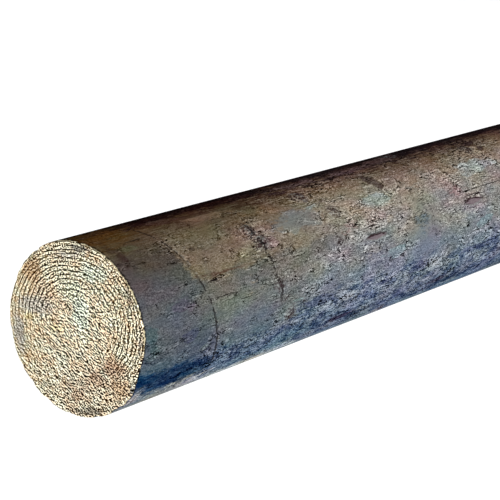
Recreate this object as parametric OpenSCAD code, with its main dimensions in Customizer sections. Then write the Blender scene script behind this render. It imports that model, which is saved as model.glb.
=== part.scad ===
// Round timber fence post: one solid of sawn and machine-rounded softwood.
// It stands upright on its foot, with the origin at the centre of the foot's flat face.
// Angles run round the post from +X towards +Y. Knots are placed by their distance below the top.

/* [Timber] */
// Diameter of the rounded timber
post_d = 150; // [120:5:200]
// Length from the foot to the sawn top
post_len = 2400; // [1500:100:3000]
// Width of the broken edge round each sawn end
arris = 1.5; // [0.5:0.5:4]

/* [Flats] */
// How far the deepest flat cuts into the round
flat_depth = 1.6; // [0.8:0.2:3]
// How far the knocked edge sets the sawn top in
knock_depth = 3.6; // [2:0.2:6]
// How far the knocked edge runs down the side
knock_drop = 14; // [8:1:30]
// Where the knocked edge is, round the post
knock_angle = -28; // [-60:1:60]

/* [Knots] */
// How far a knot stands proud of the rounded side
knot_rise = 1.2; // [0.8:0.1:2]
// Width of a full-sized knot
knot_w = 14; // [10:1:20]
// Distance from the top to the first knot of the regular run
first_run = 690; // [650:10:900]
// Distance between one whorl of branches and the next
whorl_gap = 97; // [80:1:140]

/* [Hidden] */
post_r = post_d / 2;
block = 3 * post_d;              // side of the blocks that cut the flats
knot_root = 6;                   // how deep a knot is rooted in the timber
knot_crown = 0.55;               // width of a knot's flat crown, as a share of the knot
knot_shoulder = 0.1;             // how far below the side its slope begins, as a share of half the knot
golden = 138;                  // turn from one whorl to the next, as branches grow
knot_wander = 9;                 // how far a knot strays up or down from its whorl
foot_clear = 60;                 // no knot is nearer the foot than this
whorls = floor((post_len - first_run - foot_clear) / whorl_gap) + 1;
// Flats where the log was thin: angle, share of flat_depth at the top, share at the foot
flats = [[150, 0.75, 0.35], [217, 0.5, 1], [296, 0.3, 0.8]];
// Knots of the top whorls: distance below the top, angle, share of knot_w
top_knots = [
    [92, 120, 0.8], [98, 196, 0.9], [90, 268, 0.7],
    [175, 44, 0.8], [181, 32, 1], [186, 0, 0.7], [203, -22, 0.8], [184, 112, 0.9], [178, 238, 1],
    [236, -9, 0.6], [277, 60, 1], [289, 17, 0.8], [301, 39, 0.8], [283, 150, 1], [292, 255, 0.8],
    [390, 52, 1], [384, 128, 0.8], [397, 205, 1], [388, 300, 0.8],
    [472, -19, 0.8], [480, 84, 0.8], [476, 168, 1], [487, 246, 0.9],
    [585, 60, 0.9], [592, 40, 0.7], [580, 132, 0.8], [590, 222, 1], [586, 322, 0.9]
];
// The largest knot of each whorl below them, in the same form
run_knots = [
    for (w = [0 : whorls - 1]) [
        round(first_run + w * whorl_gap + knot_wander * sin(97 * w)), round(w * golden), 1
    ]
];

// The rounded log with a broken edge at both ends; its seam lies where the first flat takes it off
module round_timber() {
    rotate([0, 0, flats[0][0]])
        rotate_extrude($fn = 180)
            polygon([
                [0, 0], [post_r - arris, 0], [post_r, arris],
                [post_r, post_len - arris], [post_r - arris, post_len], [0, post_len]
            ]);
}

// A block outside one angle of the side, set in at one height and leaning further in above it
module side_block(angle, z, set_in, lean, below, height) {
    rotate([0, 0, angle])
        translate([post_r - set_in, 0, z])
            rotate([0, -lean, 0])
                translate([0, -block / 2, -below]) cube([block, block, height]);
}

// The timber with its flats and the knocked edge of its sawn top, before the knots
module flatted_timber() {
    difference() {
        round_timber();
        for (f = flats)
            side_block(f[0], 0, f[2] * flat_depth, atan((f[1] - f[2]) * flat_depth / post_len),
                       block, post_len + 2 * block);
        side_block(knock_angle, post_len, knock_depth, atan(knock_depth / knock_drop), block, 2 * block);
    }
}

// A knot: a low button on the side, with a sloping shoulder and a flat crown
module knot(below_top, angle, share) {
    half_w = share * knot_w / 2;
    crown = knot_root + knot_rise;
    rotate([0, 0, angle])
        translate([post_r - knot_root, 0, post_len - below_top])
            rotate([0, 90, 0])
                rotate_extrude($fn = 48)
                    polygon([
                        [0, 0], [half_w, 0], [half_w, knot_root - knot_shoulder * half_w],
                        [half_w * knot_crown, crown], [0, crown]
                    ]);
}

module post() {
    color([0.50, 0.46, 0.41])
        union() {
            flatted_timber();
            for (k = concat(top_knots, run_knots)) knot(k[0], k[1], k[2]);
        }
}

post();
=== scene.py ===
# %% [markdown]
# # A round timber fence post
# The real thing is one softwood log, rounded by a machine, sawn flat at both ends and left out in the
# weather. Nearly all of its character is in the surface: growth rings and torn fibres on the sawn end,
# grey, tan and blue stains on the side, knots, and fine drying checks. The packed CAD solid gives its size
# and its place, and this lesson builds a much finer timber over it, one step at a time.

# %% Load the frame
import math
from functools import reduce

import bmesh
import bpy
import numpy as np
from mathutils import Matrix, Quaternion, Vector, noise


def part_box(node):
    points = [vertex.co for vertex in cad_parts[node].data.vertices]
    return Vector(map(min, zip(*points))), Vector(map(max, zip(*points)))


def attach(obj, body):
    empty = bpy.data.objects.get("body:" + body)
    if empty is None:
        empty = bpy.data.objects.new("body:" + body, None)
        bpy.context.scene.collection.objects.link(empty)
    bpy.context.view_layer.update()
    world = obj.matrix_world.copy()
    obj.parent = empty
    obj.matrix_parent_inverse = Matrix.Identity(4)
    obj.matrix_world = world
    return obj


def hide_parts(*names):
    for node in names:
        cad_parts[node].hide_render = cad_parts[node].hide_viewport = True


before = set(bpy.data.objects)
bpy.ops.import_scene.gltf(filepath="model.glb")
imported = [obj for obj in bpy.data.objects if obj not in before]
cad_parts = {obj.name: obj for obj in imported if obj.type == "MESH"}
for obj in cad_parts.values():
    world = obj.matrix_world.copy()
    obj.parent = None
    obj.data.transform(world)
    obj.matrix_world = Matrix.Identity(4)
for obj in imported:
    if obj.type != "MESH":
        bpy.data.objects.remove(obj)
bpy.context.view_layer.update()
foot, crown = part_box("post")
print("the CAD post spans", foot, "to", crown)

# %% [markdown]
# ## The driving sizes
# These are the CAD model's own sizes, in metres. The knots stand proud of the round, so the box alone does
# not give the timber's radius. Places on the side are given as a maker would mark them: millimetres below
# the top, and degrees round from +X towards +Y.

# %% Sizes
MM = 0.001
post_r = 75 * MM
post_len = crown[2] - foot[2]
arris = 1.5 * MM  # the broken edge round each sawn end
flat_depth = 1.6 * MM  # the deepest of the three long flats
# angle, share of flat_depth at the top, share at the foot
flats = [(150, 0.75, 0.35), (217, 0.5, 1.0), (296, 0.3, 0.8)]
knock_angle = -28  # where the top's edge has been knocked off
knock_depth, knock_drop = 3.6 * MM, 14 * MM  # how far in it starts, and how far down it runs
print("round", 2 * post_r, "m, length", round(post_len, 4), "m")

# %% [markdown]
# ## Where the knots are
# Branches grow in whorls, so knots come in rings round the trunk, about a hand's width apart. The top
# whorls are listed one by one. Each one below has one large knot, turned a golden angle from the last, as
# in the CAD model, and three small flush ones.

# %% Knots
knot_rise, knot_w = 1.2 * MM, 14 * MM
first_run, whorl_gap, golden = 690, 97, 138  # mm to the first whorl below, mm between whorls, degrees
knot_wander, wander_turn, clear_foot = 9, 97, 60
# distance below the top in mm, angle in degrees, share of the full knot width
knots = [
    (92, 120, 0.8), (98, 196, 0.9), (90, 268, 0.7), (175, 44, 0.8), (181, 32, 1.0), (186, 0, 0.7),
    (203, -22, 0.8), (184, 112, 0.9), (178, 238, 1.0), (236, -9, 0.6), (277, 60, 1.0), (289, 17, 0.8),
    (301, 39, 0.8), (283, 150, 1.0), (292, 255, 0.8), (390, 52, 1.0), (384, 128, 0.8), (397, 205, 1.0),
    (388, 300, 0.8), (472, -19, 0.8), (480, 84, 0.8), (476, 168, 1.0), (487, 246, 0.9), (585, 60, 0.9),
    (592, 40, 0.7), (580, 132, 0.8), (590, 222, 1.0), (586, 322, 0.9),
]
for w in range(int((post_len / MM - first_run - clear_foot) // whorl_gap) + 1):
    down = round(first_run + w * whorl_gap + knot_wander * math.sin(math.radians(wander_turn * w)))
    knots.append((down, round(w * golden), 1.0))
print(len(knots), "knots")

# %% [markdown]
# ## Rough out the timber
# A cylinder is the obvious start, but a bare one has far too few faces to carry knots, flats and torn
# grain. So its two ends are inset again and again, which makes the rings of faces that the saw marks need,
# and then its long side edges are cut into rows. Insetting first keeps each step light, because the mesh is
# still small.

# %% Rough out
columns = 208  # long edges round the post
side_rows = (90, 4)  # the side is cut twice: each row of the first cut into more
top_rings, foot_rings = 60, 40


def pick(kind, wanted):
    """Selects, in edit mode, the post's edges or faces for which wanted(element) is true."""
    bpy.ops.mesh.select_all(action="DESELECT")
    bpy.ops.mesh.select_mode(type=kind)
    mesh = bmesh.from_edit_mesh(post.data)
    for element in mesh.edges if kind == "EDGE" else mesh.faces:
        element.select_set(wanted(element))
    mesh.select_flush_mode()
    bmesh.update_edit_mesh(post.data)


bpy.ops.object.select_all(action="DESELECT")
bpy.ops.mesh.primitive_cylinder_add(vertices=columns, radius=post_r, depth=post_len,
                                    location=(0, 0, post_len / 2))
post = bpy.context.object
post.name = post.data.name = "timber_post"
bpy.ops.object.transform_apply(location=True, rotation=True, scale=True)
bpy.ops.object.mode_set(mode="EDIT")
pick("EDGE", lambda e: abs(e.verts[0].co.z - e.verts[1].co.z) < MM)
bpy.ops.mesh.bevel(offset=arris, segments=2, profile=0.6, affect="EDGES")
for height, rings in ((post_len, top_rings), (0.0, foot_rings)):
    pick("FACE", lambda f: abs(f.calc_center_median().z - height) < MM / 100 and len(f.verts) > 4)
    for _ in range(rings - 1):
        bpy.ops.mesh.inset(thickness=(post_r - arris) / rings)
    bpy.ops.mesh.poke()
for cuts in side_rows:
    pick("EDGE", lambda e: abs(e.verts[0].co.z - e.verts[1].co.z) > 2 * arris)
    bpy.ops.mesh.subdivide(number_cuts=cuts - 1)
bpy.ops.object.mode_set(mode="OBJECT")
triangles = sum(len(p.vertices) - 2 for p in post.data.polygons)
print(len(post.data.vertices), "vertices,", triangles, "triangles")

# %% [markdown]
# ## Space the rows
# Even rows would waste faces on plain wood. A weight along the post is high near the top, which is seen
# close up, and round every whorl of knots. Its running sum says where each row goes, so rows crowd where
# there is something to show.

# %% Space the rows
close_up, close_up_fade = 0.72, 0.03  # metres below the top that are modelled most finely
whorl_reach = 20  # mm above and below a whorl
close_up_gain, whorl_gain = 2.4, 1.3
whorl_rows = [first_run - 2 * whorl_gap + whorl_gap * i for i in range(25)]


def row_weight(down):
    """How closely the rows stand, at so many metres below the top."""
    near = close_up_gain / (1 + np.exp((down - close_up) / close_up_fade))
    knotty = sum(np.exp(-(((down / MM - centre) / whorl_reach) ** 2)) for centre in whorl_rows)
    return 1 + near + whorl_gain * np.minimum(knotty, 1)


def get_points():
    """The post's vertices as a numpy array, one row each."""
    places = np.empty(len(post.data.vertices) * 3)
    post.data.vertices.foreach_get("co", places)
    return places.reshape(-1, 3)


def set_points():
    """Puts the moved points back into the mesh."""
    post.data.vertices.foreach_set("co", points.ravel())
    post.data.update()


points = get_points()
on_side = (points[:, 2] > arris + MM / 100) & (points[:, 2] < post_len - arris - MM / 100)
fine_down = np.linspace(arris, post_len - arris, 4000)
running = np.concatenate([[0], np.cumsum(row_weight((fine_down[1:] + fine_down[:-1]) / 2))])
share_down = (post_len - points[on_side, 2] - arris) / (post_len - 2 * arris)
points[on_side, 2] = post_len - np.interp(share_down * running[-1], running, fine_down)
set_points()
gaps = np.diff(np.sort(points[on_side, 2]))
gaps = gaps[gaps > 0.1 * MM]
print("rows are", round(gaps.min() / MM, 1), "to", round(gaps.max() / MM, 1), "mm apart")

# %% [markdown]
# ## Flats, the knocked edge and chips
# A rounding machine only takes off what stands outside its circle, so a thin part of the log is left as a
# long shallow flat. The same happens here: each flat is a plane, and a point keeps the smaller of the two
# radii. The knocked edge is one more plane, which leans in at the top, and small chips are broken from the
# edge where the noise is high.

# %% Shape the round
chip_depth, chip_drop = 3.2 * MM, 3 * MM  # how deep a chip may go, and how far down
fine_relief, wide_relief = 0.16 * MM, 0.35 * MM


def lumps(points, across, along, seed=0.0):
    """Smooth noise from -1 to 1, with lumps so wide across the grain and so long along it."""
    scaled = points / (across, across, along) + seed
    return np.array([noise.noise(p) for p in scaled.tolist()])


def rim(angle, height):
    """The radius at an angle in radians and a height, before any knots."""
    radius = np.full_like(angle, post_r)
    for flat, at_top, at_foot in flats:
        set_in = flat_depth * (at_foot + (at_top - at_foot) * height / post_len)
        radius = np.minimum(radius, (post_r - set_in) / np.maximum(np.cos(angle - math.radians(flat)), 0.2))
    knock = post_r - knock_depth + (post_len - height) * knock_depth / knock_drop
    return np.minimum(radius, knock / np.maximum(np.cos(angle - math.radians(knock_angle)), 0.2))


points = get_points()
turn_of = np.arctan2(points[:, 1], points[:, 0])
reach_of = np.hypot(points[:, 0], points[:, 1])
down_of = post_len - points[:, 2]
on_side = reach_of > post_r - 0.01 * MM
on_arris = (reach_of > post_r - arris - 0.01 * MM) & ~on_side
near_top = np.exp(-((down_of / chip_drop) ** 2)) * (on_side | on_arris)
chips = np.clip(lumps(points, 7 * MM, 30 * MM, 3.1) - 0.12, 0, 1) * chip_depth * near_top
grain_rise = fine_relief * lumps(points, 5 * MM, 260 * MM)
grain_rise = grain_rise + wide_relief * lumps(points, 38 * MM, 420 * MM, 7.7)
grain_rise *= (on_side | on_arris) & (down_of < post_len - 2 * arris)
new_reach = reach_of * rim(turn_of, points[:, 2]) / post_r - chips + grain_rise
points[:, 0] = new_reach * np.cos(turn_of)
points[:, 1] = new_reach * np.sin(turn_of)
set_points()
print("reach is now", round(new_reach[on_side].min() / MM, 1), "to", round(new_reach.max() / MM, 1), "mm")

# %% [markdown]
# ## Raise the knots
# A knot's wood is harder than the wood round it. It shrinks less, so it stands a little proud after years
# outside, with a shallow moat round it. Every vertex of the side is given its place relative to the nearest
# knot, in knot widths. The lift is a function of that place, and the colours use it later.

# %% Raise the knots
small_from, small_stray = 640, 11  # mm below the top where they start, and how far they stray
moat_depth, flush_share = 0.35 * MM, 0.3
for w, centre in enumerate(whorl_rows):
    for i in range(3):
        stray = small_stray * math.sin(5.3 * w + 2.1 * i)
        if centre > small_from:
            knots.append((centre + stray, golden * (w - 2) + 80 + 90 * i + 3 * stray, 0.45 + 0.1 * i))
proud = np.array([k[2] >= 0.6 for k in knots])


def aside_of(degrees):
    """How far each vertex is from an angle, the short way round the side, in metres."""
    return ((turn_of - math.radians(degrees) + math.pi) % (2 * math.pi) - math.pi) * post_r


def up_from(down):
    """How far each vertex is above a place so many millimetres below the top, in metres."""
    return points[:, 2] - (post_len - down * MM)


def nearest(marks, far):
    """For each vertex, which mark is nearest and how far off it is, across and along the grain."""
    best = np.full(len(points), np.inf)
    across, along, which = np.full((3, len(points)), far)
    for i, (down, mark_angle, half_across, half_along) in enumerate(marks):
        u = aside_of(mark_angle) / half_across
        v = up_from(down) / half_along
        closer = (np.hypot(u, v) < best) & (np.hypot(u, v) < far / 2)
        best[closer] = np.hypot(u, v)[closer]
        across[closer], along[closer], which[closer] = u[closer], v[closer], i
    return across, along, which


far_off = 9.0  # knot widths, past which no knot is felt
knot_marks = [(down, angle, share * knot_w / 2, share * knot_w / 2 * 1.2) for down, angle, share in knots]
knot_u, knot_v, knot_id = nearest(knot_marks, far_off)
knot_u[~on_side] = far_off
spread = np.hypot(knot_u, knot_v)
inner = np.clip((1.12 - spread) / 0.55, 0, 1)
lift = knot_rise * inner * inner * (3 - 2 * inner)
lift *= np.where(proud[knot_id.astype(int)], 1, flush_share)
lift -= moat_depth * np.exp(-(((spread - 1.4) / 0.3) ** 2))
points[:, 0] += lift * np.cos(turn_of)
points[:, 1] += lift * np.sin(turn_of)
set_points()
print(len(knots), "knots, lifted up to", round(lift.max() / MM, 2), "mm")

# %% [markdown]
# ## Rough up the sawn top
# A coarse saw tears the end grain more than it cuts it. The torn rows lie along the saw's stroke, and they
# are rougher where the saw left the cut. The foot stays flat, because the post stands on it.

# %% Sawn top
top = (down_of < 0.01 * MM) & (reach_of < post_r - arris - 0.01 * MM)
stroke = math.radians(-20)  # the way the saw went across the top
along_stroke = points[:, 0] * math.cos(stroke) + points[:, 1] * math.sin(stroke)
across_stroke = points[:, 1] * math.cos(stroke) - points[:, 0] * math.sin(stroke)
torn = np.column_stack([along_stroke / 4, across_stroke, np.zeros(len(points))])
rough_half, smooth_half, sink = 0.42 * MM, 0.22 * MM, 0.25 * MM
roughness = np.where(across_stroke < 0, rough_half, smooth_half)
points[:, 2] += np.where(top, roughness * lumps(torn, 2.6 * MM, 1, 4.4) - sink, 0)
set_points()
uneven = (points[top, 2] - post_len) / MM
print("the sawn top is between", round(uneven.min(), 2), "and", round(uneven.max(), 2), "mm")

# %% [markdown]
# ## What each point of the surface knows
# The finishes need to know how the grain flows, where the nearest knot or drying check is, and which stains
# have soaked in. Each is worked out once for every vertex and kept as an attribute, which Blender blends
# across the faces. The knots and checks keep a place and not a distance, because a place blends evenly, so
# their outlines stay smooth on rather large faces.

# %% Grain, knots and checks
# distance below the top in mm, angle, length in mm, widest gap in mm; the first two are leaf-shaped scars
checks = [
    (346, 11.5, 36, 5.6), (529, 14.5, 36, 7.2), (100, 17.5, 14, 1.3), (110, 6, 28, 0.5), (137, 0, 20, 0.5),
    (45, 62, 22, 0.6), (150, -96, 190, 1.1), (118, 163, 260, 1.6), (330, 216, 170, 0.9),
    (640, -62, 240, 1.2), (560, 24, 120, 0.6), (770, 8, 300, 1.2), (900, 131, 320, 1.5),
    (1180, -34, 360, 1.4), (1270, 74, 240, 1.0), (1500, 187, 420, 1.8), (1640, 15, 300, 1.1),
    (1900, -80, 360, 1.3), (2060, 98, 300, 1.2), (2210, 222, 260, 1.4),
]


def store(name, kind, values):
    """Keeps one value for each vertex on the post's mesh."""
    field = {"FLOAT": "value", "FLOAT_VECTOR": "vector", "FLOAT_COLOR": "color"}[kind]
    post.data.attributes.new(name, kind, "POINT").data.foreach_set(field, values.ravel())


sideways = np.zeros(len(points))
for down, angle, half_across, half_along in knot_marks:
    aside = aside_of(angle)
    u, v = aside / half_across, up_from(down) / (2.2 * half_along)
    sideways -= 0.55 * aside * np.exp(-(u * u + v * v) / 2.6)
flow = turn_of + sideways / post_r
grain_place = [reach_of * np.cos(flow), reach_of * np.sin(flow), points[:, 2]]
store("grain", "FLOAT_VECTOR", np.column_stack(grain_place))
# how strongly a knot shows goes by its size, but these few, given by distance and angle, are fainter
faint_knots = {
    (236, -9): 0.4, (289, 17): 0.4, (390, 52): 0.1, (472, -19): 0.2, (592, 40): 0.4, (586, 322): 0.2,
}
force = np.array([faint_knots.get(knot[:2], 0.5 + 0.5 * min(knot[2], 1)) for knot in knots])
store("knot", "FLOAT_VECTOR", np.column_stack([knot_u, knot_v, force[knot_id.astype(int)]]))

no_check = 99.0  # mm aside, where no check is near
best = np.full(len(points), np.inf)
check_place = np.tile([no_check, 9.0, 0.0], (len(points), 1))
for down, angle, length, gap in checks:
    aside, v = aside_of(angle) / MM, up_from(down) / (length / 2 * MM)
    off = np.hypot(aside / 12, np.maximum(np.abs(v) - 0.8, 0) * 3)
    closer = (off < best) & (off < 1.2) & on_side
    best[closer] = off[closer]
    check_place[closer] = np.column_stack([aside, v, np.full(len(v), gap)])[closer]
store("check", "FLOAT_VECTOR", check_place)
print(len(checks), "drying checks touch", int((check_place[:, 0] < no_check).sum()), "vertices")

# %% [markdown]
# ## Stains
# Nothing on an old post has one colour. Rain, resin, iron, algae and sun each leave a patch. The patches
# are listed one by one, as if dabbed on with a rag: a tone, a place, a size and a strength. The finish
# tears their soft edges up later with noise.

# %% Tones
tones = {
    "maroon": (80, 60, 60), "rust": (76, 54, 46), "olive": (126, 116, 92), "pink": (124, 103, 99),
    "umber": (56, 44, 36), "bark": (60, 42, 39), "char": (26, 21, 21), "plum": (50, 36, 50),
    "ash": (126, 126, 121), "haze": (117, 120, 118), "frost": (146, 149, 147), "teal": (103, 121, 125),
    "slate": (84, 94, 104), "blue": (66, 84, 104), "navy": (25, 44, 67), "violet": (56, 62, 84),
    "sand": (146, 136, 123), "cream": (206, 194, 160), "amber": (172, 138, 98), "peach": (182, 154, 124),
    "mint": (188, 192, 164), "ice": (188, 198, 178), "lead": (156, 153, 145), "straw": (204, 182, 124),
    "sienna": (153, 116, 86), "soot_and_rim_shade": (74, 72, 66), "buff": (134, 122, 102), "mud": (122, 102, 80),
    "mauve": (111, 97, 102), "clot": (44, 27, 31), "bottle": (62, 78, 84), "lilac": (76, 71, 82),
    "moss": (84, 83, 60), "fern": (78, 92, 92),
}


def linear(tone):
    """An 8-bit colour as the light it reflects, which is what the renderer works in."""
    return [(c / 255 / 12.92) if c < 11 else ((c / 255 + 0.055) / 1.055) ** 2.4 for c in tone]


def rgb(tone):
    """A tone, by its name or as an 8-bit colour, as a shader colour."""
    return (*linear(tones.get(tone, tone)), 1)


print(len(tones), "tones")

# %% Where the stains are
# tone, distance below the top, angle, half length, half width in mm, strength
side_stains = [
    ("umber", 14, 60, 9, 30, 0.6), ("olive", 150, 27, 18, 6, 0.6), ("rust", 105, 76, 60, 7, 0.6),
    ("rust", 95, 23, 22, 2, 0.6), ("rust", 135, 21, 42, 1.8, 0.7), ("pink", 189, 30, 13, 7, 0.9),
    ("haze", 246, 40, 36, 10, 1.1), ("teal", 212, -14, 18, 3, 0.8), ("frost", 275, 47, 12, 4, 0.8),
    ("violet", 240, -21, 36, 5, 1.0), ("violet", 60, -12, 15, 6, 0.95), ("slate", 170, -20, 40, 10, 0.3),
    ("teal", 170, -52, 40, 6, 0.4), ("navy", 55, -37, 48, 6, 0.9), ("navy", 20, -42, 26, 4, 1.0),
    ("navy", 92, -38, 14, 5, 0.6), ("frost", 90, -56, 30, 3, 0.6), ("navy", 180, -44, 40, 3, 0.4),
    ("navy", 262, -40, 26, 4, 0.5), ("plum", 302, -45, 18, 4, 1.0), ("plum", 474, -45, 16, 4, 0.8),
    ("navy", 340, -48, 36, 4, 0.6), ("bark", 388, 59, 5, 4, 1.2), ("bark", 391, 54, 6, 4, 1.4),
    ("bark", 395, 49, 6, 4, 1.3), ("frost", 371, 38, 22, 6, 1.3), ("frost", 565, 42, 32, 8, 1.25),
    ("sand", 336, 35, 18, 5, 0.8), ("sand", 486, 35, 16, 5, 0.7), ("sand", 525, 41, 16, 4, 0.7),
    ("sand", 378, 20, 16, 6, 0.6), ("ash", 338, 4, 18, 6, 0.9), ("ash", 512, 8, 22, 6, 0.7),
    ("teal", 372, -4, 18, 5, 0.9), ("teal", 547, -3, 20, 5, 0.9), ("violet", 418, -23, 18, 6, 1.0),
    ("violet", 348, -25, 20, 4, 0.7), ("violet", 530, -23, 24, 5, 0.8), ("violet", 262, -32, 18, 4, 0.5),
    ("slate", 436, 10, 24, 15, 0.6), ("ash", 442, 37, 20, 7, 0.6), ("pink", 320, 27, 30, 7, 0.6),
    ("pink", 300, 50, 20, 6, 0.5), ("pink", 505, 27, 40, 6, 0.5), ("navy", 470, -42, 20, 4, 0.6),
    ("navy", 500, -50, 40, 6, 0.8), ("navy", 420, -50, 30, 3, 0.4), ("navy", 570, -46, 30, 4, 0.4),
    ("maroon", 300, 78, 34, 7, 0.9), ("maroon", 450, 80, 22, 9, 0.9), ("maroon", 388, 77, 40, 7, 0.9),
    ("umber", 98, 40, 12, 22, 0.45), ("buff", 160, 36, 20, 20, 0.7), ("buff", 158, 8, 16, 14, 0.4),
    ("ash", 8, -52, 6, 18, 0.8), ("frost", 175, -65, 70, 5, 0.9), ("frost", 90, -52, 20, 4, 0.6),
    ("blue", 525, -62, 60, 8, 1.0), ("frost", 238, -62, 20, 6, 1.0), ("slate", 380, -64, 50, 6, 0.9),
    ("bottle", 11, -15, 8, 9, 0.8), ("mud", 210, 55, 40, 8, 0.5), ("clot", 281, 62, 5, 4, 1.0),
    ("clot", 279, 54, 4, 3, 0.9), ("clot", 262, 70, 16, 4, 0.9), ("clot", 608, 58, 5, 4, 1.0),
    ("clot", 604, 68, 10, 5, 0.9), ("clot", 590, 74, 20, 4, 0.9), ("sand", 338, 34, 26, 6, 0.8),
    ("mud", 440, 52, 40, 6, 0.4), ("frost", 600, 42, 20, 6, 0.7), ("bottle", 9, -3, 8, 9, 0.9),
    ("bark", 17, 50, 4, 9, 0.9), ("lilac", 53, 9, 16, 8, 0.8), ("moss", 33, 56, 14, 6, 0.8),
    ("fern", 80, -24, 12, 4, 0.8), ("mud", 150, 65, 26, 6, 0.9), ("blue", 228, -38, 14, 5, 0.4),
    ("frost", 225, -38, 10, 3, 0.5), ("frost", 372, -53, 24, 3, 0.6),
]
# distance below the top, angle, half length, half width in mm, how much rougher the wood is there
rough_spots = [
    (72, 50, 14, 30, 0.3), (100, 55, 16, 14, 0.4), (180, 35, 12, 30, 0.5), (190, 0, 12, 20, 0.4),
    (290, 65, 60, 16, 0.6), (330, 8, 60, 30, 0.5), (370, 62, 90, 16, 0.5), (350, 33, 60, 16, 0.4),
    (540, 20, 90, 40, 0.6), (590, 62, 90, 20, 0.6), (250, -44, 180, 16, 1.0), (480, -40, 170, 22, 1.3),
    (100, -38, 30, 8, 0.6), (330, -28, 60, 10, 0.5), (434, 12, 24, 22, -1.1), (140, 0, 40, 30, -0.1),
    (246, 40, 36, 10, -0.5), (368, -4, 14, 6, -0.4), (547, -2, 16, 6, -0.4), (330, 84, 260, 9, 0.8),
    (275, 64, 26, 12, 0.9), (600, 64, 26, 12, 0.9), (385, 70, 14, 8, 0.8), (160, 36, 50, 18, -0.04),
]
# tone, place across and up in mm, half width and half height in mm, strength
top_stains = [
    ("amber", -41, 50, 13, 12, 0.8), ("peach", -29, 31, 14, 12, 0.6), ("mint", 4, 33, 14, 9, 0.8),
    ("ice", 9, 14, 9, 16, 0.9), ("ice", 26, 47, 20, 9, 0.7), ("lead", -42, 20, 20, 8, 0.9),
    ("ice", -56, 16, 9, 6, 0.5), ("straw", -52, 11, 6, 3, 0.9), ("straw", -22, 0, 12, 5, 0.5),
    ("lead", -65, -4, 6, 16, 0.9), ("sienna", 37, -33, 15, 10, 0.7), ("sienna", 18, -41, 15, 9, 0.6),
    # the soot patch at 21, 71 sits on the sawn top's rim and is painted shade there
    ("soot_and_rim_shade", 21, 71, 14, 5, 1.1), ("lead", 2, 64, 20, 7, 0.5), ("soot_and_rim_shade", 64, 30, 5, 14, 0.5),
    ("sienna", -12, -57, 16, 7, 0.5), ("mint", 42, 18, 14, 12, 0.5), ("peach", -10, 22, 8, 6, 0.5),
    ("soot_and_rim_shade", 8, -70, 26, 5, 0.6), ("sienna", -2, -48, 26, 10, 0.5), ("amber", 44, -50, 18, 12, 0.6),
    ("lead", 70, -12, 4, 18, 0.5), ("mint", -36, -58, 14, 10, 0.4),
]
print(len(side_stains), "stains and", len(rough_spots), "rough spots on the side")
print(len(top_stains), "stains on the sawn top")

# %% [markdown]
# ## Soak the stains in
# Two stains that meet don't average to mud, as two paints would: the stronger one hides the other. So each
# is weighed by the square of its strength. The mixed tone and the strongest stain's strength are kept for
# the finish, with the wood's roughness beside them.

# %% Soak the stains in
falloff = 0.7  # how fast a stain fades towards and past its edge
rough_base, rough_wander, roughest = 0.32, 0.25, 1.6
mixed, total, strongest = np.zeros((len(points), 3)), np.zeros(len(points)), np.zeros(len(points))


def dab(tone, distance, strength, where):
    """Adds one stain, whose distance is 1 at its edge."""
    weight = strength * np.exp(-falloff * distance**2) * where
    mixed[:] += (weight**2)[:, None] * np.array(linear(tones[tone]))
    total[:] += weight**2
    strongest[:] = np.maximum(strongest, weight)


for tone, down, angle, half_long, half_wide, strength in side_stains:
    distance = np.hypot(aside_of(angle) / MM / half_wide, (down_of / MM - down) / half_long)
    dab(tone, distance, strength, ~top)
for tone, across, upward, half_wide, half_high, strength in top_stains:
    distance = np.hypot((points[:, 0] / MM - across) / half_wide, (points[:, 1] / MM - upward) / half_high)
    dab(tone, distance, strength, top)
rough = rough_base + rough_wander * lumps(points, 60 * MM, 220 * MM, 9.3)
for down, angle, half_long, half_wide, gain in rough_spots:
    spot = (aside_of(angle) / MM / half_wide) ** 2 + ((down_of / MM - down) / half_long) ** 2
    rough = rough + gain * np.exp(-falloff * spot)
store("rough", "FLOAT", np.clip(rough, 0.05, roughest))
store("stain", "FLOAT_COLOR", np.column_stack([mixed / np.maximum(total, 1e-9)[:, None], strongest]))
print("stains cover", round(100 * (strongest > 0.5).mean()), "% of the vertices")

# %% [markdown]
# ## A small kit for finishes
# The finishes are node trees, so every value in them is worked out from the surface itself, and nothing is
# painted in an image. This kit adds one node at a time and returns its output, so that a finish reads like
# a short recipe.

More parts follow.
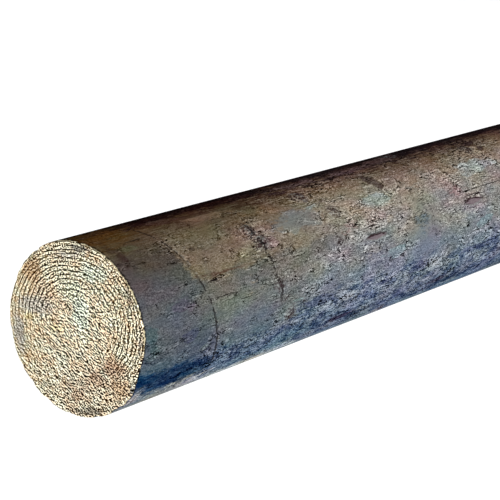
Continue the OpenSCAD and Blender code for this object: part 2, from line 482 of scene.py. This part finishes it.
# %% Finish kit
class Finish:
    """Builds the node tree of one material."""

    def __init__(self, name):
        self.material = bpy.data.materials.new(name)
        self.material.use_nodes = True
        self.tree = self.material.node_tree
        self.shader = self.tree.nodes["Principled BSDF"]

    def node(self, kind, inputs, **settings):
        """Adds a node, sets it up, and feeds each named or numbered input."""
        node = self.tree.nodes.new("ShaderNode" + kind)
        for key, value in settings.items():
            setattr(node, key, value)
        for key, value in inputs.items():
            self.feed(node.inputs[key], value)
        return node

    def feed(self, socket, value):
        """Links a socket to another node's output, or sets it to a constant."""
        if isinstance(value, bpy.types.NodeSocket):
            self.tree.links.new(value, socket)
        else:
            socket.default_value = value

    def math(self, operation, *values):
        return self.node("Math", dict(enumerate(values)), operation=operation).outputs[0]

    def add(self, *values):
        return reduce(lambda total, value: self.math("ADD", total, value), values)

    def times(self, *values):
        return reduce(lambda total, value: self.math("MULTIPLY", total, value), values)

    def less(self, value, taken):
        return self.math("SUBTRACT", value, taken)

    def flip(self, value):
        return self.less(1.0, value)

    def vector(self, operation, *values):
        """A calculation with vectors. Two of them give a single number, at the second output."""
        outputs = self.node("VectorMath", dict(enumerate(values)), operation=operation).outputs
        return outputs[1 if operation in ("LENGTH", "DOT_PRODUCT") else 0]

    def stretch(self, vector, across, along):
        """Scales a vector, so that noise in it is drawn out along the grain."""
        return self.vector("MULTIPLY", vector, (across, across, along))

    def shift(self, vector, other):
        return self.vector("ADD", vector, other)

    def split(self, vector):
        return self.node("SeparateXYZ", {0: vector}).outputs

    def join(self, x, y, z):
        return self.node("CombineXYZ", {0: x, 1: y, 2: z}).outputs[0]

    def noise(self, vector, size, detail=2.0, roughness=0.5):
        """Noise from 0 to 1, whose lumps are as wide as the size, in the vector's own unit."""
        inputs = {"Vector": vector, "Scale": 1 / size, "Detail": detail, "Roughness": roughness}
        return self.node("TexNoise", inputs).outputs["Fac"]

    def step(self, value, low, high, start=0.0, end=1.0):
        """A smooth step from start to end, as the value goes from low to high."""
        inputs = {"Value": value, "From Min": low, "From Max": high, "To Min": start, "To Max": end}
        return self.node("MapRange", inputs, interpolation_type="SMOOTHSTEP").outputs[0]

    def blend(self, share, first, second, mode="MIX"):
        """Mixes two colours. A share of 1 gives all of the second."""
        node = self.node("Mix", {}, data_type="RGBA", blend_type=mode)
        for socket, value in ((0, share), (6, first), (7, second)):
            self.feed(node.inputs[socket], value)
        return node.outputs[2]

    def shade(self, colour, amount):
        """Darkens or brightens a colour by one factor."""
        return self.node("VectorMath", {0: colour, "Scale": amount}, operation="SCALE").outputs[0]

    def tone(self, colour, amount):
        """Darkens or brightens a colour as the eye counts it, by one step in red, green and blue."""
        shown = self.node("Gamma", {0: colour, 1: 1 / 2.2}).outputs[0]
        grey = self.node("RGBToBW", {0: shown}).outputs[0]
        step = self.times(grey, self.less(amount, 1.0))
        moved = self.shift(shown, self.join(step, step, step))
        return self.node("Gamma", {0: self.vector("MAXIMUM", moved, (0.01, 0.01, 0.01)), 1: 2.2}).outputs[0]

    def ramp(self, value, stops):
        """A colour ramp from a list of places from 0 to 1 and 8-bit colours."""
        node = self.node("ValToRGB", {0: value})
        ramp = node.color_ramp
        for place, tone in stops[1:-1]:
            ramp.elements.new(place)
        for element, (place, tone) in zip(ramp.elements, stops):
            element.position = place
            element.color = rgb(tone)
        return node.outputs[0]

    def attribute(self, name):
        return self.node("Attribute", {}, attribute_name=name).outputs

    def finish(self, colour, roughness, height, depth):
        """Feeds the shader. A step of 1 in the height is so many metres deep."""
        bump = self.node("Bump", {"Height": height, "Distance": depth, "Strength": 1.0})
        self.feed(self.shader.inputs["Base Color"], colour)
        self.feed(self.shader.inputs["Roughness"], roughness)
        self.feed(self.shader.inputs["Specular IOR Level"], 0.0)
        self.feed(self.shader.inputs["Normal"], bump.outputs[0])
        return self.material


print("the kit's steps:", ", ".join(name for name in vars(Finish) if name[0] != "_"))

# %% [markdown]
# ## The weathered side: its tones
# The side goes from tan to a cold blue-grey as one turns round it, because each side met a different
# sun and rain. On the +Y side, from about 70 to 106 degrees, it goes nearly black: that is painted
# shade. The paler tones from about -55 to -78 degrees, past the blue, are a painted rim highlight. A
# colour ramp on the angle gives all of that. One ring of tones would make the post look extruded, so
# there are three: one near the top, one for the rest, and a darker one for the end that a clamp once
# held. They share a plainer back.

# %% Rings of tones
# angle in degrees and 8-bit colour
back_tones = [
    (-180, (106, 108, 108)), (-138, (119, 102, 84)), (-98, (104, 104, 106)),
    (124, (90, 82, 74)), (142, (104, 100, 94)), (180, (106, 108, 108)),
]


def ring_of_tones(back_share, front_tones):
    """Ramp stops for once round the post: the front's own tones, and so much of the back's."""
    back = [(angle, tuple(back_share * c for c in tone)) for angle, tone in back_tones]
    return [((angle + 180) / 360, tone) for angle, tone in sorted(back + front_tones)]


# the dark stops from 77 to 100 degrees are painted shade, and the paler stop at -68 is a painted rim
# highlight
lower = ring_of_tones(1.0, [
    (-68, (94, 104, 116)), (-58, (71, 84, 100)), (-48, (66, 78, 96)), (-18, (95, 102, 112)),
    (-8, (98, 104, 112)), (12, (122, 121, 119)), (42, (142, 132, 120)), (58, (122, 104, 86)),
    (71, (86, 66, 54)), (77, (52, 36, 34)), (84, (30, 21, 23)), (100, (20, 15, 16)),
])
# the dark stops from 74 to 100 degrees are painted shade, and the pale stops at -78 and -66 are a painted rim
# highlight
upper = ring_of_tones(0.93, [
    (-78, (118, 124, 130)), (-66, (136, 142, 144)), (-50, (61, 81, 97)), (-42, (62, 79, 97)),
    (2, (97, 100, 94)), (19, (96, 92, 86)), (23, (113, 101, 85)), (44, (115, 101, 83)),
    (54, (106, 92, 72)), (74, (64, 42, 28)), (78, (40, 20, 18)), (92, (16, 9, 9)), (100, (20, 14, 14)),
])
# the dark stops from 96 to 106 degrees are painted shade, and the pale stops at -66 and -55 are a painted rim
# highlight
clamped = ring_of_tones(0.73, [
    (-66, (112, 114, 114)), (-55, (110, 114, 116)), (-50, (86, 96, 104)), (-47, (28, 50, 72)),
    (-40, (8, 36, 64)), (-33, (22, 46, 72)), (-30, (60, 72, 86)), (4, (81, 85, 89)),
    (44, (79, 70, 61)), (52, (88, 79, 61)), (76, (84, 58, 25)), (96, (22, 16, 13)), (106, (38, 32, 29)),
])
print("rings of", len(upper), len(lower), "and", len(clamped), "tones")

# %% [markdown]
# ## The weathered side: its grain
# All that is uneven in wood is drawn out along the grain, from drifts a thumb wide down to single fibres.
# These noises are made once and shared, because marks that come from one noise look as if they belong to
# one piece of wood.

# %% Side grain
class Timber(Finish):
    """The side's finish, with the places and noises that its marks are made from."""

    def __init__(self, name):
        super().__init__(name)
        self.place = self.node("TexCoord", {}).outputs["Object"]
        x, y, z = self.split(self.place)[:3]
        self.turn = self.times(self.math("ARCTAN2", y, x), 180 / math.pi)  # degrees round from +X
        self.down = self.times(self.less(post_len, z), 1 / MM)  # millimetres below the top
        scar_tilt, scar_down = (-150, 260, 0), 79
        self.scar = self.add(self.down, self.vector("DOT_PRODUCT", self.place, scar_tilt), -scar_down)
        self.grain = self.attribute("grain")["Vector"]
        self.drift = self.grained(30, 0.4, 3)
        self.mottle = self.grained(11, 0.45, 3, 0.6)
        self.patch = self.grained(5, 0.5, 2, 0.6, 3)
        self.streak = self.grained(2.6, 0.25, 3, 0.7)
        self.fibre = self.grained(1.5, 0.3, 2, 0.7)
        self.hairline = self.grained(1.3, 0.07, 1, 0.5, 12)
        self.speck = self.less(self.noise(self.stretch(self.place, 1, 0.7), 1.1 * MM, 1), 0.5)

    def grained(self, size, along, detail=2.0, roughness=0.5, offset=0):
        """Noise centred on 0, so many millimetres wide and drawn out along the grain."""
        moved = self.shift(self.grain, (offset, offset, offset)) if offset else self.grain
        return self.less(self.noise(self.stretch(moved, 1, along), size * MM, detail, roughness), 0.5)

    def near(self, value, far, close):
        """A share that grows from 0 to 1 as a value, of either sign, comes from far to close to 0."""
        return self.step(self.math("ABSOLUTE", value), far, close)


side = Timber("weathered_side")
print("the side's places and noises take", len(side.tree.nodes), "nodes")

# %% [markdown]
# ## The weathered side: its colour
# The angle is shaken by the noise before it picks a tone, so no border between two tones is straight. Then
# come the stains, with torn edges, and darker blotches on the cold side. Last come very faint warm, cold,
# violet and olive breaths over everything, so that no patch has one even colour.

# %% Side colour
blotch_filter = (0.54, 0.60, 0.76, 1)
# size in mm, how drawn out, a seed, and the filters where the noise is high and where it is low
breaths = [
    (20, 0.5, 5, (1.07, 0.97, 0.96, 1), (0.92, 1.015, 1.025, 1)),
    (26, 0.6, 45, (1.02, 0.96, 1.06, 1), (1.01, 1.025, 0.92, 1)),
]


def round_colour(f):
    """The tone round the post, and the shaken angle."""
    torn = f.add(f.step(f.turn, -18, -32, 4, 18), f.step(f.turn, 54, 66, 0, 24))
    shaken = f.add(f.turn, f.times(f.drift, 18), f.times(f.mottle, 16), f.times(f.streak, torn),
                   f.times(f.hairline, f.step(f.turn, 50, 64, 0, 34)))
    where = f.math("WRAP", f.add(f.times(shaken, 1 / 360), 0.5), 1.0, 0.0)
    past_upper = f.step(f.add(f.down, f.times(f.drift, 260)), 170, 330)
    colour = f.blend(past_upper, f.ramp(where, upper), f.ramp(where, lower))
    soft = f.add(f.step(f.turn, 12, 24, 22, 5), f.step(f.turn, 46, 60, 0, 16))
    past_scar = f.math("DIVIDE", f.add(f.scar, f.times(f.mottle, 30), f.times(f.streak, 16), 4), soft)
    return f.blend(f.step(past_scar, -1, 1), f.ramp(where, clamped), colour), shaken


def stained(f, colour):
    """The colour with its stains, and the worn outline round each stain."""
    stain = f.attribute("stain")
    torn_edge = f.add(stain["Alpha"], f.times(f.mottle, 1.6), f.times(f.streak, 0.8))
    outline = f.near(f.less(torn_edge, 0.46), 0.05, 0.01)
    return f.blend(f.step(torn_edge, 0.42, 0.66, 0, 0.8), colour, stain["Color"]), outline


def cold_side(f, shaken):
    """Where the wood is cold blue, and the dark and pale blotches there."""
    border = f.step(f.down, 170, 215, 13, 0)
    cold = f.times(f.step(f.add(shaken, border), -15, -20), f.step(f.turn, -68, -60))
    blotch = f.add(f.grained(8, 0.45, 3, 0.65, 71), f.times(f.streak, 0.3))
    return cold, f.times(cold, f.step(blotch, 0.01, 0.05)), f.times(cold, f.step(blotch, -0.06, -0.12))


def breathed(f, colour):
    """The colour seen through the faint breaths."""
    for size, along, seed, high_filter, low_filter in breaths:
        breath = f.grained(size, along, 1, 0.5, seed)
        colour = f.blend(f.step(breath, 0.0, 0.18), colour, high_filter, "MULTIPLY")
        colour = f.blend(f.step(breath, 0.0, -0.18), colour, low_filter, "MULTIPLY")
    return colour


colour, shaken = round_colour(side)
colour, outline = stained(side, colour)
cold, dark_blotch, pale_blotch = cold_side(side, shaken)
colour = breathed(side, side.blend(dark_blotch, colour, blotch_filter, "MULTIPLY"))
print("with its colour the side takes", len(side.tree.nodes), "nodes")

# %% [markdown]
# ## The weathered side: its light and dark
# Seen close, grey wood is a net of fine fibres, a few steps lighter and darker. Over it lie clusters of
# sparse marks: pits, pale flecks, short cracks and worn outlines. Light and dark are added as the eye
# counts them, by the same step in red, green and blue, because a multiplication would make every pale fleck
# too colourful.

# %% Side light and dark
def sparse_marks(f, cold, outline, rough):
    """Marks in clusters. Dark ones are below 0 and pale ones above it."""
    on_rough = f.times(f.step(rough, 0.8, 1.2, 0, 0.08), f.flip(cold))
    cluster = f.add(f.grained(9, 0.5, 2, 0.6, 61), f.times(f.drift, 0.4), on_rough)
    cluster = f.step(cluster, 0.02, 0.09, 0.12, 1)
    pitting = f.grained(1.8, 0.33, 1, 0.5, 21)
    pits, pale = f.step(pitting, 0.12, 0.18), f.step(pitting, -0.12, -0.18)
    cracks = f.times(f.near(f.grained(4.2, 0.14, 1, 0.5, 33), 0.020, 0.006), f.step(f.patch, -0.02, 0.08))
    worn = f.times(f.near(f.grained(5.5, 0.55, 2, 0.6, 8), 0.035, 0.010), f.step(f.patch, 0.04, -0.04))
    marks = f.add(f.times(pits, f.add(-0.62, f.times(cold, -0.6))),
                  f.times(pale, f.flip(f.times(cold, 0.8)), 0.50),
                  f.times(cracks, -1.2),
                  f.times(worn, -1.1),
                  f.times(f.step(f.patch, -0.04, 0.02, 0.3, 1), outline, -0.5),
                  0.17)
    return f.times(marks, cluster), cluster


def light_and_dark(f, colour, cold, dark_blotch, pale_blotch, outline):
    """The colour with its fibres and marks, and the marks alone."""
    rough = f.add(f.attribute("rough")["Fac"], f.times(f.drift, 0.8), f.times(f.mottle, 0.8))
    rough = f.math("MAXIMUM", rough, 0.05)
    marks, cluster = sparse_marks(f, cold, outline, rough)
    hairs = f.add(f.step(f.hairline, 0.10, 0.16, 0, -0.20), f.step(f.hairline, -0.12, -0.18, 0, 0.12))
    lined = f.add(1, f.times(cold, 0.9), f.step(f.turn, 42, 56, 0, 1.1))
    fine = f.add(f.times(f.streak, 0.5), f.times(f.fibre, 2.2), f.times(f.speck, 2.9), f.times(hairs, lined))
    broad = f.add(f.times(f.mottle, 0.34), f.times(f.patch, 0.12), f.times(pale_blotch, 0.25),
                  f.times(dark_blotch, -0.12))
    fine_gain = f.add(f.step(rough, 0, 0.35, 0.12, 0.31), f.times(rough, 0.50))
    clustered = f.add(0.75, f.times(cluster, 0.5), f.times(cold, 0.3))
    broad_gain = f.add(0.22, f.times(rough, 0.7))
    mark_gain = f.add(f.step(rough, 0, 0.35, 0.02, 0.30), f.times(rough, 1.1))
    tone = f.add(1.02, f.times(fine, fine_gain, clustered), f.times(broad, broad_gain),
                 f.times(marks, mark_gain))
    tone = f.math("MINIMUM", tone, f.add(1.65, f.times(cold, -0.08)))
    return f.shade(f.tone(colour, tone), f.add(1.03, f.times(cold, 0.13))), marks


colour, marks = light_and_dark(side, colour, cold, dark_blotch, pale_blotch, outline)
print("with its light and dark it takes", len(side.tree.nodes), "nodes")

# %% [markdown]
# ## The weathered side: knots and checks
# A knot has a torn dark heart and dark grain that curls round it; the pale curls and flecks round it
# are painted highlights. A check is a drying crack that ends in points. Two of them have grown into
# leaf-shaped scars, with a dark upper rim, a dull floor, and a pale lower rim that is a painted
# highlight. Clean rings would look like targets, so noise is added to every distance before it is used.

# %% Side knots and checks
def knotted(f, colour):
    """The colour with the knots, and where their hearts are."""
    knot_x, knot_y, force = f.split(f.attribute("knot")["Vector"])[:3]
    reach = f.vector("LENGTH", f.join(knot_x, knot_y, 0.0))
    ragged = f.add(reach, f.times(f.patch, 2.4), f.times(f.fibre, 3.0), f.times(f.streak, 1.5))
    heart = f.times(f.step(ragged, 0.55, 0.30), force)
    curl = f.math("PINGPONG", f.add(reach, f.times(f.patch, 2.2), f.times(f.streak, 1.5)), 0.25)
    curls = f.times(f.step(reach, 1.5, 0.9), force)
    highlight_noise = f.step(f.add(f.fibre, f.times(f.patch, 0.8)), 0.06, 0.12)
    flecks = f.times(f.step(reach, 1.7, 0.8), highlight_noise, force)
    colour = f.blend(f.times(f.step(ragged, 1.5, 0.8), force, 0.3), colour, rgb("maroon"))
    # pale flecks round the knot: painted highlights
    colour = f.blend(f.times(flecks, 0.5), colour, rgb("frost"))
    colour = f.blend(f.times(curls, f.step(curl, 0.09, 0.03), 0.75), colour, rgb("clot"))
    # pale curls beside the dark ones: painted highlights
    colour = f.blend(f.times(curls, f.step(curl, 0.18, 0.24), 0.45), colour, rgb("frost"))
    return f.blend(f.times(heart, 0.7), colour, rgb("clot")), heart


def checked(f, colour):
    """The colour with the checks and the leaf-shaped scars, and their height."""
    aside, along_check, gap = f.split(f.attribute("check")["Vector"])[:3]
    wide = f.step(gap, 2, 4)
    wander = f.add(aside, f.times(f.streak, f.add(3.0, f.times(wide, 2))), f.times(f.fibre, 0.8),
                   f.times(wide, f.patch, 2.4))
    taper = f.flip(f.math("POWER", f.math("ABSOLUTE", along_check), 2.0))
    opening = f.times(gap, 0.5, f.math("MAXIMUM", taper, 0.0))
    past_edge = f.less(f.math("ABSOLUTE", wander), opening)
    crack = f.times(f.step(past_edge, -0.25, 0.25, 1, 0), f.step(taper, 0.0, 0.15))
    floor_tone = f.blend(wide, rgb("char"), rgb("mauve"))
    colour = f.blend(f.times(crack, f.step(wide, 0, 1, 0.9, 0.85)), colour, floor_tone)
    rim = f.times(f.near(past_edge, 1.5, 0.5), wide, f.step(taper, -0.15, 0.1))
    broken = f.step(f.add(f.speck, f.times(f.patch, 0.6)), -0.16, 0.0, 0.45, 1)
    # the pale lower rim of the leaf-shaped scars: a painted highlight
    colour = f.blend(f.times(rim, broken, f.step(wander, 0.6, -0.6), 0.5), colour, rgb("frost"))
    colour = f.blend(f.times(rim, broken, f.step(wander, -0.8, 0.8), 0.95), colour, rgb("clot"))
    return colour, f.times(crack, f.step(gap, 2, 4, -1.2, -0.3))


colour, heart = knotted(side, colour)
colour, crack_height = checked(side, colour)
print("with its knots and checks it takes", len(side.tree.nodes), "nodes")

# %% [markdown]
# ## The weathered side: the clamp's scar and the sawn edge
# The clamp left a thin dark line round the post, on a tilt, and a pale line beside it is a painted
# highlight. A second dark seam, where bark was trapped, runs through the second ring of knots. Both fade
# and break. At the very top the side is darker in a thin band just under the broken edge, and pale torn
# fibres hang over it.

# %% Side scar and edge
bark_seam_down, bark_seam_turn = 186, 20


def scarred(f, colour):
    """The colour with the clamp's scar and the bark seam, and where they are."""
    shiver = f.add(f.times(f.streak, 5), f.times(f.fibre, 3))
    line = f.near(f.add(f.scar, shiver), 1.5, 0.5)
    seam = f.add(f.down, f.times(f.turn, 0.2), -bark_seam_down, shiver, f.times(f.mottle, 12))
    seam = f.times(f.near(seam, 2.2, 0.9), f.near(f.less(f.turn, bark_seam_turn), 34, 26))
    shows = f.math("MAXIMUM", f.step(f.turn, 24, 18, 0.5, 1), f.step(f.turn, 32, 42, 0, 0.9))
    line = f.times(line, shows, f.step(f.turn, -45, -38))
    broken = f.step(f.add(f.patch, f.times(f.streak, 0.6)), -0.06, 0.0, f.step(f.turn, 6, -4, 0, 0.7))
    line = f.times(f.math("MAXIMUM", line, seam), broken)
    # a pale line just beside the scar: a painted highlight
    highlight_line = f.near(f.add(f.scar, shiver, -2.2), 1.3, 0.4)
    highlight_line = f.times(highlight_line, f.near(f.turn, 50, 42), f.step(f.patch, 0.0, 0.08), 0.5)
    colour = f.blend(highlight_line, colour, rgb("ash"))
    return f.blend(f.times(line, 0.85), colour, rgb("char")), line


def frayed(f, colour):
    """The colour with the sawn edge's dark border and hanging fibres."""
    # the side is darker in a thin band just under the broken edge of the top
    colour = f.shade(colour, f.step(f.add(f.down, f.times(f.streak, 6)), 1.6, 3.8, 0.16, 1.0))
    hanging = f.step(f.add(f.down, f.times(f.streak, -4), f.times(f.fibre, -3)), 1.7, 0.9)
    return f.blend(f.times(hanging, 0.85), colour, rgb("cream"))


colour, line = scarred(side, colour)
colour = frayed(side, colour)
print("with its scar and sawn edge it takes", len(side.tree.nodes), "nodes")

# %% [markdown]
# ## The weathered side: its relief
# Fibres and pits are far finer than the mesh, so they are a bump and not moved vertices. The same noises and
# marks that gave the colour give the bump, so that what looks dark is also low.

# %% Side relief
height = side.add(side.times(side.streak, 0.6), side.times(side.fibre, 0.6), side.times(side.speck, 0.4),
                  side.times(side.patch, 0.3), side.times(marks, 0.8), crack_height,
                  side.times(line, -0.5), side.times(heart, -0.3))
side_finish = side.finish(colour, 0.92, height, 1.4 * MM)
print("the weathered side has", len(side.tree.nodes), "nodes")

# %% [markdown]
# ## The sawn end: its rings
# Each year adds a pale band of soft wood and a thin dark line of dense wood, so the end shows rings round
# the pith. An image of rings would be flat and fixed, so here each point works out its own ring number from
# its distance to the pith. The rings are slightly oval, they sway, and they stand closer together outwards,
# as the tree slowed.

# %% End rings
ring_pace, ring_crowding = 10.5, 8.5  # rings in one radius at the pith's pace, and how many more by the bark
oval_squeeze = 0.86


class EndGrain(Finish):
    """A sawn end's finish, with its places in millimetres and its rings."""

    def __init__(self, name, pith, seed):
        super().__init__(name)
        self.seed = seed
        place = self.node("TexCoord", {}).outputs["Object"]
        flat = self.stretch(place, 1 / MM, 0)
        self.flat = self.shift(flat, (seed, 0, 0)) if seed else flat
        self.sway = self.less(self.coarse(34), 0.5)
        self.quiver = self.less(self.coarse(7, 2, 90), 0.5)
        from_pith = self.shift(self.flat, (-pith[0] - seed, -pith[1], 0))
        self.x, self.y = self.split(from_pith)[:2]
        oval = self.join(self.times(self.x, oval_squeeze), self.y, 0.0)
        self.direction = self.vector("NORMALIZE", oval)
        self.out = self.in_radii(self.vector("LENGTH", self.shift(from_pith, (*pith, 0))))
        swayed = self.add(self.vector("LENGTH", oval), self.times(self.sway, 6), self.times(self.quiver, 0.8))
        self.share = self.in_radii(swayed)
        crowding = self.times(self.share, self.share, ring_crowding)
        self.phase = self.add(self.times(self.share, ring_pace), crowding)
        year = self.math("FRACT", self.phase)
        self.late = self.times(self.step(year, 0.62, 0.84), self.step(year, 1.0, 0.94))

    def coarse(self, size, detail=2.0, offset=0):
        """Noise from 0 to 1, so many millimetres wide."""
        return self.noise(self.shift(self.flat, (offset, offset, offset)), size, detail, 0.6)

    def in_radii(self, value, share=1):
        """Millimetres, or a share of them, in radii of the post."""
        return self.times(value, share * MM / post_r)


def clear_rings(f):
    """Where the rings are clear: above the pith and near the bark, and torn away below."""
    tear = f.times(f.sway, 0.8)
    above = f.times(f.step(f.add(f.in_radii(f.y), tear), 0.0, 0.42), f.step(f.share, 0.06, 0.3))
    turned_up = f.add(f.in_radii(f.y), f.in_radii(f.x, 0.5))
    near_bark = f.times(f.step(f.add(f.out, tear), 0.45, 0.72), f.step(turned_up, -0.6, -0.1, 0.4, 1))
    return f.math("MAXIMUM", above, near_bark)


print("there are about", round(ring_pace + ring_crowding), "rings from the pith to the bark")

# %% [markdown]
# ## The sawn end: its saw marks
# A coarse saw broke each ring into dashes and combed the rest along its stroke, with loose grit between.
# Plain sine stripes would look like corduroy, so each stripe's strength and place come from noise.

# %% End saw marks
saw_turn = math.radians(-39)
comb_period, comb_length, grit_size = 2.7, 2.6, 1.3  # in millimetres
dashes_per_ring = 1.5


def strokes(f, turns, place, offset):
    """Broken parallel lines, one to each turn, that come and go with the noise."""
    first = f.less(f.noise(f.shift(place, (offset, 0, 0)), 1.0, 0), 0.5)
    second = f.less(f.noise(f.shift(place, (offset, 50, 0)), 1.0, 0), 0.5)
    angle = f.times(turns, 2 * math.pi)
    return f.add(f.times(f.math("COSINE", angle), first), f.times(f.math("SINE", angle), second))


def saw_marks(f, clear):
    """The dashes, comb and grit together, the comb alone, and the broken dark line of each ring."""
    turns = f.times(f.phase, dashes_per_ring)
    ring_space = f.shift(f.stretch(f.direction, 9, 0), f.join(0.0, 0.0, turns))
    dash = f.less(f.noise(ring_space, 1.0, 1, 0.6), 0.5)
    dashes = strokes(f, turns, ring_space, f.seed)
    along = f.vector("DOT_PRODUCT", f.flat, (math.cos(saw_turn), math.sin(saw_turn), 0))
    across = f.vector("DOT_PRODUCT", f.flat, (-math.sin(saw_turn), math.cos(saw_turn), 0))
    comb_space = f.join(f.times(along, 1 / comb_length), f.times(across, 1 / comb_length), f.seed + 0.5)
    comb = strokes(f, f.times(across, 1 / comb_period), comb_space, 20)
    grit = f.less(f.noise(f.flat, grit_size, 0), 0.5)
    marks = f.add(f.times(dashes, f.add(1.6, f.times(clear, 0.7))),
                  f.times(comb, f.add(8.5, f.times(clear, -6.8))),
                  f.times(grit, f.add(4.4, clear)))
    ring_line = f.times(f.late, f.step(dash, -0.24, -0.04, 0.45, 1), f.add(0.2, f.times(clear, 0.8)))
    return marks, comb, ring_line


print("the saw's teeth left lines", comb_period, "mm apart, at", round(math.degrees(saw_turn)), "degrees")

# %% [markdown]
# ## The sawn end: all together
# The body is three pale tones in soft lumps, tinted by the stains that have soaked in. The marks are
# quieter where the saw went in, and stronger where it left. The top and the foot share the finish: each has
# its own pith and its own noise, and the foot is darker with age.

# %% Sawn end
cream_body, tan_body, green_body = (203, 195, 165), (201, 175, 138), (188, 192, 168)
darkest, lightest = 0.03, 1.42


def sawn_end(name, pith, age, seed):
    """The whole finish of one sawn end."""
    f = EndGrain(name, pith, seed)
    clear = clear_rings(f)
    marks, comb, ring_line = saw_marks(f, clear)
    quiet = f.times(f.step(f.add(f.x, f.times(f.sway, 20)), -62, -15, 0.36, 1), f.step(f.y, -50, -25, 1.5, 1))
    light = f.add(f.step(f.out, 0.25, 1.0, 1.03, 0.95),
                  f.step(f.y, -35, 5, -0.05, 0),
                  f.step(f.x, -20, -50, 0, 0.055),
                  f.times(marks, quiet),
                  f.times(ring_line, f.step(f.x, -62, -25, -0.75, -1.2)))
    light = f.math("MINIMUM", f.math("MAXIMUM", light, darkest), lightest)

    stain = f.attribute("stain")
    edge = f.add(stain["Alpha"], f.times(f.quiver, 0.8), f.times(comb, 0.4))
    body = f.blend(f.step(f.coarse(9, 3, 40), 0.35, 0.65), rgb(cream_body), rgb(tan_body))
    body = f.blend(f.step(f.coarse(14, 3, 140), 0.45, 0.7, 0, 0.6), body, rgb(green_body))
    body = f.blend(f.step(edge, 0.18, 0.72, 0, 0.8), body, stain["Color"])
    height = f.add(f.times(marks, 0.3), f.times(ring_line, -0.35))
    return f.finish(f.shade(f.tone(body, light), age), 0.85, height, 1.0 * MM)


top_finish = sawn_end("sawn_top", pith=(-1.5, 7.5), age=1.0, seed=0.0)
foot_finish = sawn_end("sawn_foot", pith=(3.0, -5.0), age=0.55, seed=300.0)
print("each sawn end has about", len(top_finish.node_tree.nodes), "nodes")

# %% [markdown]
# ## Put the finishes on
# The sawn faces and their broken edge take the end finishes, and everything else is the weathered side. The
# faces are told apart by where they lie and which way they look.

# %% Assign finishes
for finish in (side_finish, top_finish, foot_finish):
    post.data.materials.append(finish)
edge_band, looks_up = 1.2 * arris, 0.35  # an end's faces lie this near it and look this much along it
counts = [0, 0, 0]
for face in post.data.polygons:
    if face.center.z > post_len - edge_band and face.normal.z > looks_up:
        face.material_index = 1
    elif face.center.z < edge_band and face.normal.z < -looks_up:
        face.material_index = 2
    counts[face.material_index] += 1
bpy.ops.object.shade_smooth_by_angle(angle=math.radians(50))
print("faces: side", counts[0], "sawn top", counts[1], "sawn foot", counts[2])

# %% [markdown]
# ## The studio
# The post stands on a wide pale floor that is lit until it is nearly white, so its colours read clearly.
# The key is a soft sun from above and one side, and the pale sky fills in the rest.

# %% Floor and light
floor_size, floor_grey, sky_strength = 60, 0.86, 0.32
bpy.ops.object.select_all(action="DESELECT")
bpy.ops.mesh.primitive_plane_add(size=floor_size, location=(0, 0, 0))
floor = bpy.context.object
floor.name = "studio_floor"
floor_paint = bpy.data.materials.new("pale_floor")
floor_paint.use_nodes = True
paint_inputs = floor_paint.node_tree.nodes["Principled BSDF"].inputs
paint_inputs["Base Color"].default_value = (floor_grey, floor_grey, floor_grey, 1)
paint_inputs["Roughness"].default_value = 1
paint_inputs["Specular IOR Level"].default_value = 0
floor.data.materials.append(floor_paint)

sky = bpy.data.worlds.new("pale_sky")
sky.use_nodes = True
sky.node_tree.nodes["Background"].inputs["Color"].default_value = (1, 1, 1, 1)
sky.node_tree.nodes["Background"].inputs["Strength"].default_value = sky_strength
bpy.context.scene.world = sky
bpy.context.scene.view_settings.view_transform = "Standard"


def soft_sun(name, turn, rise, strength, softness):
    """A sun that shines from one side and height, in degrees. A wide one has soft shadows."""
    bpy.ops.object.light_add(type="SUN")
    sun = bpy.context.object
    sun.name = name
    sun.data.energy = strength
    sun.data.angle = math.radians(softness)
    sun.rotation_euler = (0, math.radians(90 - rise), math.radians(turn))
    return sun


key = soft_sun("key", turn=-30, rise=50, strength=4.2, softness=40)
print("the key sun's strength is", round(key.data.energy, 2), "and the sky's", sky_strength)

# %% [markdown]
# ## The camera
# The camera looks down on the sawn top and along the post, and is rolled over, so that the upright post
# lies across the frame. Its place is a turn, a rise and a distance from the top's middle, as one would set
# up a tripod, and it is aimed at a point inside the post, a quarter of a metre below the top.

# %% Camera
aim_down, aim_side = 0.2437, 0.0211
camera_turn, camera_rise, camera_reach, camera_roll = 14.53, 44.85, 1.4786, 107.06
lens, sensor_width = 128.45, 36
turn, rise = math.radians(camera_turn), math.radians(camera_rise)
direction = Vector((math.cos(rise) * math.cos(turn), math.cos(rise) * math.sin(turn), math.sin(rise)))
camera_at = Vector((0, 0, post_len)) + camera_reach * direction
aim_at = Vector((0, aim_side, post_len - aim_down))
bpy.ops.object.camera_add(location=camera_at)
camera = bpy.context.object
camera.name = "studio_camera"
look = (aim_at - camera_at).to_track_quat("-Z", "Y")
camera.rotation_euler = (look @ Quaternion((0, 0, 1), -math.radians(camera_roll))).to_euler()
camera.data.lens = lens
camera.data.sensor_width = sensor_width
bpy.context.scene.camera = camera
print("camera at", [round(v, 3) for v in camera_at], "aims at", [round(v, 3) for v in aim_at])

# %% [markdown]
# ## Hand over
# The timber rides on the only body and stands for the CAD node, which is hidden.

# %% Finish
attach(post, "root")
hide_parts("post")
